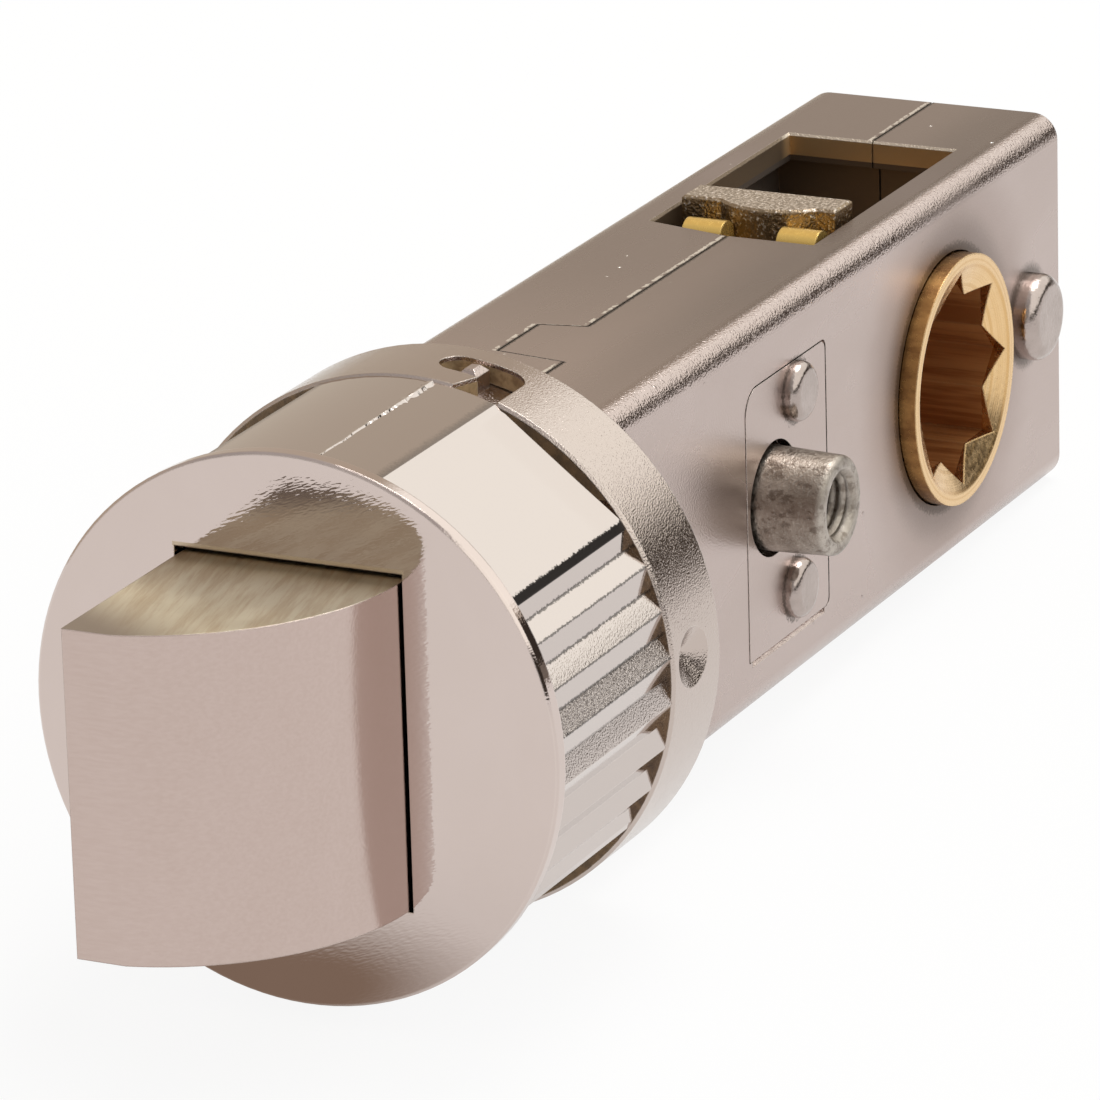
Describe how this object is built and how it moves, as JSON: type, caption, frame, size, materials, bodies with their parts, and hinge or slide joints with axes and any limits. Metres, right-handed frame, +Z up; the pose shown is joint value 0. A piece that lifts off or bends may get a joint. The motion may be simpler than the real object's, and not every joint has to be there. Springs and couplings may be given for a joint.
{
  "type": "mortice privacy latch",
  "caption": "Tubular mortice latch with bevelled bolt, round forend, brass star follower and a sliding privacy boss.",
  "frame": {"origin": "centre of the forend disc's front face, on the bolt's centre line", "axes": "+X out of the door's edge with the bolt, +Y to the side with the threaded privacy boss, +Z up"},
  "size_m": [0.082, 0.0254, 0.0254],
  "materials": {
    "brushed_nickel": "brushed satin",
    "plated_nickel": "satin nickel plating on a casting",
    "polished_nickel": "bright nickel plating",
    "yellow_brass": "machined",
    "bare_zinc": "dull casting",
    "sintered_grey": "granular casting",
    "spring_steel": "drawn wire"
  },
  "bodies": {
    "case": {"forend_disc": "brushed_nickel", "left_case": "plated_nickel", "right_case": "plated_nickel", "collar_ring": "polished_nickel", "privacy_plate": "plated_nickel", "plate_rivet_upper": "polished_nickel", "plate_rivet_lower": "polished_nickel", "rear_rivet": "polished_nickel", "detent_ball": "spring_steel", "detent_spring": "spring_steel", "latch_spring": "spring_steel", "return_spring_upper": "spring_steel", "return_spring_lower": "spring_steel"},
    "bolt": {"latch_bolt": "brushed_nickel", "tail_yoke": "sintered_grey", "tail_rivet_upper": "spring_steel", "tail_rivet_lower": "spring_steel"},
    "follower": {"follower": "yellow_brass"},
    "privacy_slider": {"privacy_slider": "bare_zinc"}
  },
  "joints": [
    {"name": "follower_turn", "type": "hinge", "parent": "case", "child": "follower", "pos_m": [-0.057, 0, 0], "axis": [0, -1, 0], "range_deg": [0, 55]},
    {"name": "bolt_slide", "type": "slide", "parent": "case", "child": "bolt", "axis": [-1, 0, 0], "range_m": [0, 0.01], "stiffness_N_per_m": 600, "springref_m": -0.012, "deforming": ["latch_spring", "return_spring_upper", "return_spring_lower"]},
    {"name": "privacy_slide", "type": "slide", "parent": "case", "child": "privacy_slider", "axis": [0, -1, 0], "range_m": [0, 0.0028]}
  ],
  "couplings": [
    {"joint": "follower_turn", "follows": "bolt_slide", "rad_per_m": 95.99}
  ]
}
